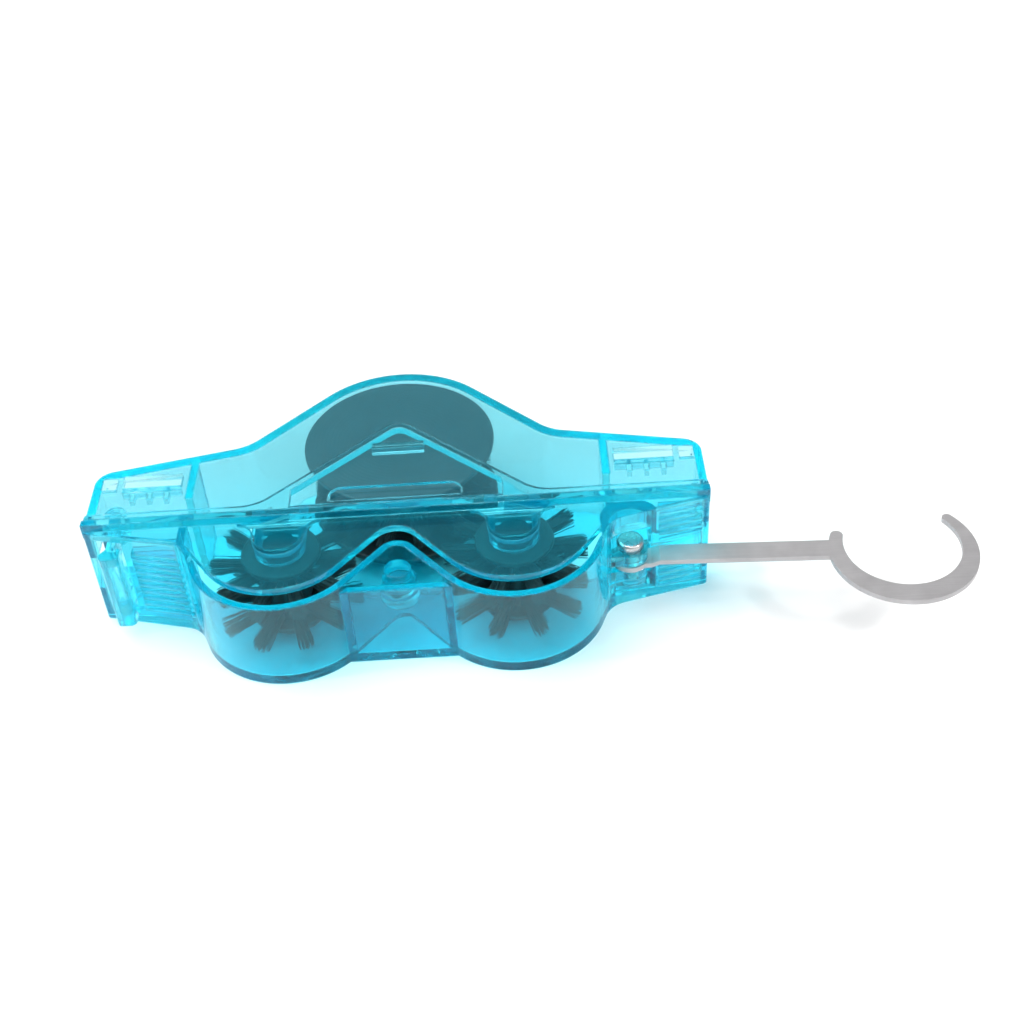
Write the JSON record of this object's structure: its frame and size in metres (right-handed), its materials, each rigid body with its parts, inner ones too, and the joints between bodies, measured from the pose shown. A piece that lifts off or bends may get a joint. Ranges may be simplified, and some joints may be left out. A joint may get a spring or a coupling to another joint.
{
  "type": "bike chain cleaner",
  "caption": "Clear blue snap-together housing that closes round a bicycle chain, with black rotary brushes inside and a flat steel hook arm that holds it against the derailleur",
  "frame": {"origin": "middle of the housing's length and width, on the flat back that the cleaner rests on", "axes": "+X along the chain towards the hook arm, +Y from the lid towards the tank, +Z from the back to the front face"},
  "size_m": [0.2129, 0.0831, 0.0304],
  "materials": {
    "clear_blue": "clear injection-moulded plastic, polished, tinted light blue",
    "black_plastic": "black moulded plastic with a soft shine",
    "bristle": "black nylon bristles",
    "brushed_strip": "flat stainless strip, stamped, satin",
    "bright_steel": "bright plated steel"
  },
  "bodies": {
    "tank": {"tank_shell": "clear_blue", "wheel_axle": "bright_steel"},
    "lid": {"lid_shell": "clear_blue", "left_front_keeper": "clear_blue", "left_rear_keeper": "clear_blue", "right_front_keeper": "clear_blue", "right_rear_keeper": "clear_blue", "hook_screw": "bright_steel"},
    "large_wheel": {"wheel_front_disc": "black_plastic", "wheel_rear_disc": "black_plastic", "wheel_core": "black_plastic", "wheel_bristles": "bristle"},
    "left_brush": {"left_front_disc": "black_plastic", "left_rear_disc": "black_plastic", "left_core": "black_plastic", "left_bristles": "bristle"},
    "right_brush": {"right_front_disc": "black_plastic", "right_rear_disc": "black_plastic", "right_core": "black_plastic", "right_bristles": "bristle"},
    "hook": {"hook_arm": "brushed_strip"},
    "latch": {"latch_lever": "clear_blue"}
  },
  "joints": [
    {"name": "lid_swing", "type": "hinge", "parent": "tank", "child": "lid", "pos_m": [0.075, -0.013, 0.0142], "axis": [0, 0, 1], "range_deg": [0, 36]},
    {"name": "large_wheel_spin", "type": "hinge", "parent": "tank", "child": "large_wheel", "pos_m": [0, 0.0151, 0.0142], "axis": [0, 0, 1], "continuous": true},
    {"name": "left_brush_spin", "type": "hinge", "parent": "lid", "child": "left_brush", "pos_m": [-0.0279, -0.0196, 0.0142], "axis": [0, 0, 1], "continuous": true},
    {"name": "right_brush_spin", "type": "hinge", "parent": "lid", "child": "right_brush", "pos_m": [0.0279, -0.0196, 0.0142], "axis": [0, 0, 1], "continuous": true},
    {"name": "hook_arm_swing", "type": "hinge", "parent": "lid", "child": "hook", "pos_m": [0.0555, -0.0202, 0.0142], "axis": [0, 0, 1], "range_deg": [-105, 0]},
    {"name": "latch_press", "type": "hinge", "parent": "tank", "child": "latch", "pos_m": [-0.0684, -0.0078, 0.0142], "axis": [0, 0, 1], "range_deg": [-6, 0], "stiffness_Nm_per_rad": 0.03}
  ]
}
